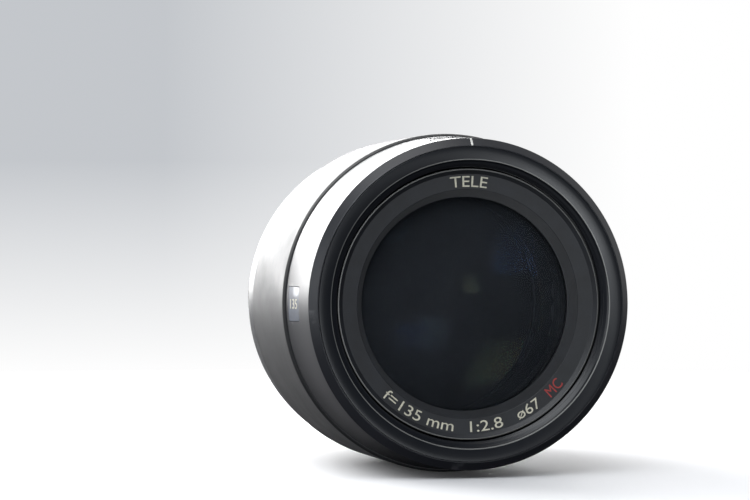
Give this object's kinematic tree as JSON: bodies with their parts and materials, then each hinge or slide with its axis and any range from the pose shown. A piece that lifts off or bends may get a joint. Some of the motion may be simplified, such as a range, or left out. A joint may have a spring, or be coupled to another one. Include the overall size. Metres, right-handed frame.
{
  "type": "camera lens",
  "caption": "Telephoto prime camera lens: smooth black barrel, rubber focus ring that turns without end, threaded front, bayonet mount, iris, moving focus groups and stabiliser.",
  "frame": {"origin": "on the optical axis, halfway between the front rim and the rear end of the bayonet", "axes": "-Y out of the front of the lens along the optical axis, +Y out of the mount into the camera, +Z to the index mark and display side"},
  "size_m": [0.084, 0.1246, 0.084],
  "materials": {
    "black_anodised": "satin black anodised aluminium",
    "matt_black": "matt anti-reflection black",
    "badge_enamel": "slate enamel",
    "display_glass": "polished dark window",
    "display": "dark display module",
    "rubber": "matte black rubber",
    "inner_aluminium": "machined, clear anodised",
    "mount_steel": "polished plated metal",
    "guide_steel": "ground steel",
    "black_plastic": "glass-filled black plastic",
    "gold_contacts": "gold plated",
    "circuit_board": "green solder mask",
    "coated_glass": "polished, anti-reflection coated",
    "copper_winding": "enamelled copper wire",
    "magnet": "nickel plated magnet",
    "iris_steel": "blackened steel leaf"
  },
  "bodies": {
    "lens_body": {"front_barrel": "black_anodised", "filter_ring": "black_anodised", "name_ring": "matt_black", "badge_plate": "badge_enamel", "display_window": "display_glass", "display_panel": "display", "rear_barrel": "black_anodised", "mount_flange": "mount_steel", "mount_gasket": "rubber", "mount_screw_1": "mount_steel", "mount_screw_2": "mount_steel", "mount_screw_3": "mount_steel", "mount_screw_4": "mount_steel", "contact_block": "black_plastic", "contact_strip": "gold_contacts", "rear_baffle": "matt_black", "main_barrel": "inner_aluminium", "front_lens_cell": "matt_black", "rear_lens_cell": "matt_black", "main_board": "circuit_board", "lens_element_01": "coated_glass", "lens_element_02": "coated_glass", "lens_element_03": "coated_glass", "lens_element_04": "coated_glass", "lens_element_12": "coated_glass", "lens_element_13": "coated_glass", "lens_element_14": "coated_glass", "front_focus_magnet": "magnet", "rear_focus_magnet": "magnet", "upper_guide_rod": "guide_steel", "lower_guide_rod": "guide_steel", "stabiliser_base": "inner_aluminium", "iris_housing": "matt_black", "iris_motor": "inner_aluminium"},
    "focus_ring": {"focus_ring_grip": "rubber", "focus_ring_core": "inner_aluminium"},
    "front_focus_group": {"front_focus_carrier": "black_plastic", "front_focus_coil": "copper_winding", "lens_element_05": "coated_glass", "lens_element_06": "coated_glass", "lens_element_07": "coated_glass"},
    "rear_focus_group": {"rear_focus_carrier": "black_plastic", "rear_focus_coil": "copper_winding", "lens_element_08": "coated_glass", "lens_element_09": "coated_glass"},
    "stabiliser_slider": {"stabiliser_guide": "guide_steel"},
    "stabiliser_group": {"stabiliser_frame": "black_plastic", "lens_element_10": "coated_glass", "lens_element_11": "coated_glass"},
    "iris_ring": {"iris_cam_ring": "black_plastic"},
    "iris_motor_gear": {"iris_pinion": "gold_contacts"},
    "blade_1": {"iris_blade_1": "iris_steel"},
    "blade_2": {"iris_blade_2": "iris_steel"},
    "blade_3": {"iris_blade_3": "iris_steel"},
    "blade_4": {"iris_blade_4": "iris_steel"},
    "blade_5": {"iris_blade_5": "iris_steel"},
    "blade_6": {"iris_blade_6": "iris_steel"},
    "blade_7": {"iris_blade_7": "iris_steel"},
    "blade_8": {"iris_blade_8": "iris_steel"},
    "blade_9": {"iris_blade_9": "iris_steel"}
  },
  "joints": [
    {"name": "focus_ring_turn", "type": "hinge", "parent": "lens_body", "child": "focus_ring", "pos_m": [0, -0.0217, 0], "axis": [0, -1, 0], "continuous": true},
    {"name": "focus_travel", "type": "slide", "parent": "lens_body", "child": "front_focus_group", "axis": [0, 1, 0], "range_m": [0, 0.011]},
    {"name": "floating_travel", "type": "slide", "parent": "lens_body", "child": "rear_focus_group", "axis": [0, 1, 0], "range_m": [0, 0.00495]},
    {"name": "stabiliser_sideways", "type": "slide", "parent": "lens_body", "child": "stabiliser_slider", "axis": [1, 0, 0], "range_m": [-0.0006, 0.0006], "stiffness_N_per_m": 40},
    {"name": "stabiliser_upright", "type": "slide", "parent": "stabiliser_slider", "child": "stabiliser_group", "axis": [0, 0, 1], "range_m": [-0.0006, 0.0006], "stiffness_N_per_m": 400},
    {"name": "iris_ring_turn", "type": "hinge", "parent": "lens_body", "child": "iris_ring", "pos_m": [0, -0.0015, 0], "axis": [0, -1, 0], "range_deg": [0, 17.25]},
    {"name": "blade_1_turn", "type": "hinge", "parent": "lens_body", "child": "blade_1", "pos_m": [0.0198, 0.0012, 0], "axis": [0, -1, 0], "range_deg": [0, 34.5]},
    {"name": "blade_2_turn", "type": "hinge", "parent": "lens_body", "child": "blade_2", "pos_m": [0.01517, 0.0012, 0.01273], "axis": [0, -1, 0], "range_deg": [0, 34.5]},
    {"name": "blade_3_turn", "type": "hinge", "parent": "lens_body", "child": "blade_3", "pos_m": [0.00344, 0.0012, 0.0195], "axis": [0, -1, 0], "range_deg": [0, 34.5]},
    {"name": "blade_4_turn", "type": "hinge", "parent": "lens_body", "child": "blade_4", "pos_m": [-0.0099, 0.0012, 0.01715], "axis": [0, -1, 0], "range_deg": [0, 34.5]},
    {"name": "blade_5_turn", "type": "hinge", "parent": "lens_body", "child": "blade_5", "pos_m": [-0.01861, 0.0012, 0.00677], "axis": [0, -1, 0], "range_deg": [0, 34.5]},
    {"name": "blade_6_turn", "type": "hinge", "parent": "lens_body", "child": "blade_6", "pos_m": [-0.01861, 0.0012, -0.00677], "axis": [0, -1, 0], "range_deg": [0, 34.5]},
    {"name": "blade_7_turn", "type": "hinge", "parent": "lens_body", "child": "blade_7", "pos_m": [-0.0099, 0.0012, -0.01715], "axis": [0, -1, 0], "range_deg": [0, 34.5]},
    {"name": "blade_8_turn", "type": "hinge", "parent": "lens_body", "child": "blade_8", "pos_m": [0.00344, 0.0012, -0.0195], "axis": [0, -1, 0], "range_deg": [0, 34.5]},
    {"name": "blade_9_turn", "type": "hinge", "parent": "lens_body", "child": "blade_9", "pos_m": [0.01517, 0.0012, -0.01273], "axis": [0, -1, 0], "range_deg": [0, 34.5]},
    {"name": "iris_gear_spin", "type": "hinge", "parent": "lens_body", "child": "iris_motor_gear", "pos_m": [-0.00663, -0.0015, -0.02473], "axis": [0, -1, 0], "range_deg": [-203.6, 0]}
  ],
  "couplings": [
    {"joint": "floating_travel", "follows": "focus_travel", "ratio": 0.45},
    {"joint": "blade_1_turn", "follows": "iris_ring_turn", "ratio": 2},
    {"joint": "blade_2_turn", "follows": "iris_ring_turn", "ratio": 2},
    {"joint": "blade_3_turn", "follows": "iris_ring_turn", "ratio": 2},
    {"joint": "blade_4_turn", "follows": "iris_ring_turn", "ratio": 2},
    {"joint": "blade_5_turn", "follows": "iris_ring_turn", "ratio": 2},
    {"joint": "blade_6_turn", "follows": "iris_ring_turn", "ratio": 2},
    {"joint": "blade_7_turn", "follows": "iris_ring_turn", "ratio": 2},
    {"joint": "blade_8_turn", "follows": "iris_ring_turn", "ratio": 2},
    {"joint": "blade_9_turn", "follows": "iris_ring_turn", "ratio": 2},
    {"joint": "iris_gear_spin", "follows": "iris_ring_turn", "ratio": -11.8}
  ]
}
